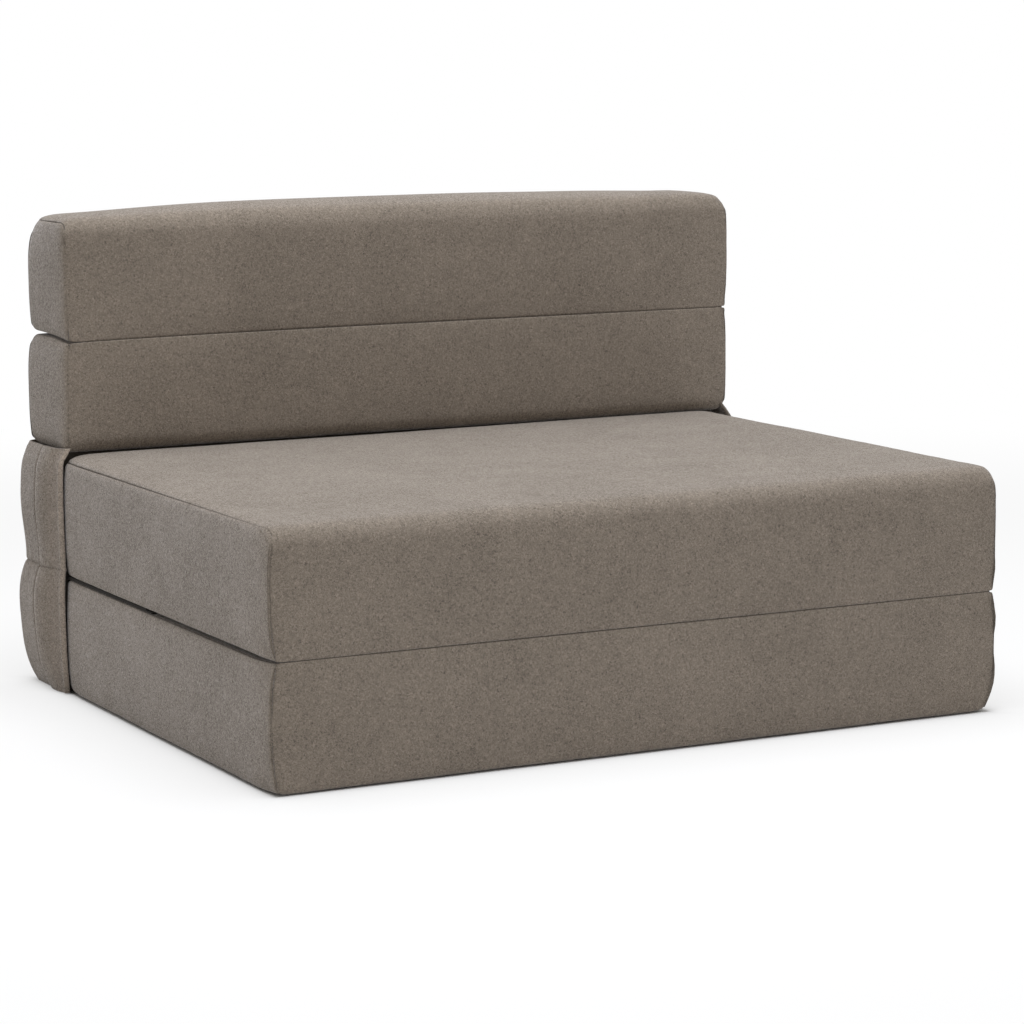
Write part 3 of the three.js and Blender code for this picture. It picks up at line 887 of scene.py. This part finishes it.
for index, level in enumerate(("lower", "upper")):
    def pad_place(u, v, w):
        z, side, rear = sleeve_row(0.5 * (index + w * pad_filled))
        x, y = (2 * u - 1) * side, pad_front + v * (rear - pad_front)
        corner = np.where(v < 0.5, pad_corner, wing_corner)
        over_x = np.clip(abs(x) - (side - corner), 0, None)
        over_y = np.clip(np.where(v < 0.5, pad_front + corner - y, y - (rear - corner)), 0, None)
        both = np.maximum(np.hypot(over_x, over_y), 1e-9)
        shrink = np.where((over_x > 0) & (over_y > 0), np.maximum(over_x, over_y) / both, 1.0)
        x = np.sign(x) * (np.minimum(abs(x), side - corner) + over_x * shrink)
        y = np.where(
            v < 0.5, np.maximum(y, pad_front + corner) - over_y * shrink,
            np.minimum(y, rear - corner) + over_y * shrink,
        )
        return x, y, z

    pad = slab(f"rear_pad_{level}", pad_counts, pad_place, cover_velvet)
    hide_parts(f"rear_foam_{level}")
    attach(pad, "backrest")


# Linings and hinge tapes
# Dark woven cloth where little shows: the front of the sleeve, the gusset that the back section
# tips on, the backing under the bed with its rubber dots, and the flap tucked under the seat. Two
# tapes sewn into the front seams join seat to base and upper to lower back.
lining_colour = (0.030, 0.027, 0.024)
thread_pitch = 900.0
thread_contrast = 0.12
thread_relief = 0.0003
grain_pitch = 60.0
grain_contrast = 0.5
weave_roughness = 0.85
weave_bump = 0.7
weave_gloss = 0.2
dot_pitch = 90.0
dot_radius = 0.3
dot_steepness = 8.0
dot_threads = 0.2
dot_relief = 0.0006


def woven(name, colour, dotted=False):
    finish = bpy.data.materials.new(name)
    finish.use_nodes = True
    tree = finish.node_tree
    shader = tree.nodes["Principled BSDF"]
    place = object_place(tree)
    x_waves, y_waves, z_waves = ((axis * thread_pitch).maths("SINE") for axis in place.axes())
    threads = x_waves * y_waves + y_waves * z_waves + x_waves * z_waves
    grain = place.node("ShaderNodeTexNoise", None, {
        "Vector": place, "Scale": grain_pitch, "Detail": 4.0,
    })
    shade = 1.0 + threads * thread_contrast + (grain - 0.5) * grain_contrast
    shade.shading(colour).into(shader, "Base Color")
    height = threads
    if dotted:
        dots = place.node("ShaderNodeTexVoronoi", {"feature": "F1"}, {
            "Vector": place, "Scale": dot_pitch, "Randomness": 0.0,
        })
        height = (dot_radius - dots).maths("MAXIMUM") * dot_steepness + threads * dot_threads
    (weave_roughness + (grain - 0.5) * roughness_spread).into(shader, "Roughness")
    place.node("ShaderNodeBump", None, {
        "Strength": weave_bump, "Distance": dot_relief if dotted else thread_relief, "Height": height,
    }).into(shader, "Normal")
    shader.inputs["Specular IOR Level"].default_value = weave_gloss
    return finish


dark_lining = woven("dark_lining", lining_colour)
dotted_backing = woven("dotted_backing", lining_colour, dotted=True)
hinge_tape = woven("hinge_tape", (0.090, 0.077, 0.064))
sleeve_lining = woven("sleeve_lining", (0.080, 0.069, 0.057))
flap_cloth = woven("flap_cloth", (0.024, 0.021, 0.018))
sheets = {
    "sleeve_front_lining": (
        "backrest", "lining_fabric", sleeve_lining, (90, 1, 30), "stretched", ["rear_foam_lower"],
    ),
    "floor_gusset": ("base", "lining_fabric", dark_lining, (90, 14, 1), "laid", ["studio_floor"]),
    "base_underlay": ("base", "lining_fabric", dotted_backing, (90, 60, 1), "laid", ["studio_floor"]),
    "anchor_flap_lower": ("base", "lining_fabric", flap_cloth, (90, 28, 1), "laid", ["base_cover"]),
    "anchor_flap_upper": (
        "base", "lining_fabric", flap_cloth, (90, 28, 1), "laid", ["anchor_flap_lower"],
    ),
    "seat_hinge_tape": ("base", "tape_fabric", hinge_tape, (90, 3, 1), "laid", ["base_cover"]),
    "headrest_hinge_tape": (
        "backrest", "tape_fabric", hinge_tape, (90, 3, 1), "laid", ["lower_back_cover"],
    ),
}
ripple_pitch = 9.0
ripple_share = 0.15
tape_ends = {"seat_hinge_tape": (-0.470, 0.4985), "headrest_hinge_tape": (-0.470, 0.5065)}
floor_level = 0.001
floor_edge = 0.0003

for node, (body, slot, finish, counts, held, rests_on) in sheets.items():
    low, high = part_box(node)
    thin = min(range(3), key=lambda axis: high[axis] - low[axis])
    ripple = ripple_share * (high[thin] - low[thin])

    def sheet_place(u, v, w):
        places = [low[axis] + share * (high[axis] - low[axis]) for axis, share in enumerate((u, v, w))]
        if node in tape_ends:
            first, last = tape_ends[node]
            places[0] = first + u * (last - first)
        if node == "headrest_hinge_tape":
            behind = places[1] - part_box("lower_back_side_left")[0].y
            places[2] = places[2] - sagging(places[0] / block_half, behind, blocks["lower_back"]["sag"])
        if low[2] < floor_level:
            edge = np.minimum(1 - abs(2 * u - 1), 1 - abs(2 * v - 1)) < 1e-6
            places[2] = np.where(edge, floor_edge * w, places[2])
        else:
            others = [places[axis] * ripple_pitch for axis in range(3) if axis != thin]
            waves = np.array([noise.noise(Vector((a, b, 0.0))) for a, b in zip(*others)])
            places[thin] = places[thin] + ripple * waves
        return places

    piece = slab(f"{node}_cloth", counts, sheet_place, finish)
    lengths = [high[axis] - low[axis] for axis in range(3) if axis != thin]
    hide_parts(node)
    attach(piece, body)


# Zips
# A woven tape with a moulded nylon coil runs along the rear of each cover. Slider and pull are
# die-cast metal with a satin gunmetal finish.
metal_colour = (0.42, 0.40, 0.37)
metal_shade = 0.85
metal_roughness = 0.28
streak_pitch = 900.0
streak_contrast = 0.3
streak_roughness = 0.16
coil_pitch = 0.0016
coil_radius = 0.0019
coil_thread = 0.00035
coil_turn_points = 8
coil_thread_points = 4
coil_flatness = 0.45
coil_stand = 0.0012
zip_tape_counts = (120, 1, 6)
zip_tape_thickness = 0.0008

seam_tape = woven("seam_tape", (0.050, 0.043, 0.037))
metal = bpy.data.materials.new("gunmetal")
metal.use_nodes = True
tree = metal.node_tree
shader = tree.nodes["Principled BSDF"]
place = object_place(tree)
streaks = place.node("ShaderNodeTexNoise", None, {
    "Vector": place, "Scale": streak_pitch, "Detail": 3.0,
})
(metal_shade + streaks * streak_contrast).shading(metal_colour).into(shader, "Base Color")
(metal_roughness + streaks * streak_roughness).into(shader, "Roughness")
shader.inputs["Metallic"].default_value = 1.0

for name, block in blocks.items():
    tape_low, tape_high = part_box(f"{name}_zip")
    middle_z = (tape_low.z + tape_high.z) / 2

    def tape_place(u, v, w):
        x = tape_low.x + u * (tape_high.x - tape_low.x)
        y = tape_low.y + v * zip_tape_thickness
        return x, y, tape_low.z + w * (tape_high.z - tape_low.z)

    tape = slab(f"{name}_zip_tape", zip_tape_counts, tape_place, seam_tape)
    turns = int((tape_high.x - tape_low.x) / coil_pitch)
    bpy.ops.object.select_all(action="DESELECT")
    bpy.ops.mesh.primitive_torus_add(
        major_segments=coil_turn_points, minor_segments=coil_thread_points,
        major_radius=coil_radius, minor_radius=coil_thread,
        location=(tape_low.x, tape_low.y + coil_stand, middle_z), rotation=(0, math.pi / 2, 0),
    )
    coil = bpy.context.object
    coil.name = f"{name}_zip_coil"
    coil.scale = (coil_flatness, 1.0, 1.0)
    bpy.ops.object.transform_apply(location=False, rotation=False, scale=True)
    rows = coil.modifiers.new("rows", "ARRAY")
    rows.use_relative_offset = False
    rows.use_constant_offset = True
    rows.count = turns
    rows.constant_offset_displace = (0, 0, coil_pitch)
    activate(coil)
    bpy.ops.object.modifier_apply(modifier="rows")
    bpy.ops.object.transform_apply(location=True, rotation=True, scale=True)
    coil.data.materials.append(seam_tape)
    for piece in (tape, coil):
        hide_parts(f"{name}_zip")
        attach(piece, block["rides"])
    for node in (f"{name}_zip_slider", f"{name}_zip_pull"):
        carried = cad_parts[node]
        carried.data.materials.clear()
        carried.data.materials.append(metal)

low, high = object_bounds()
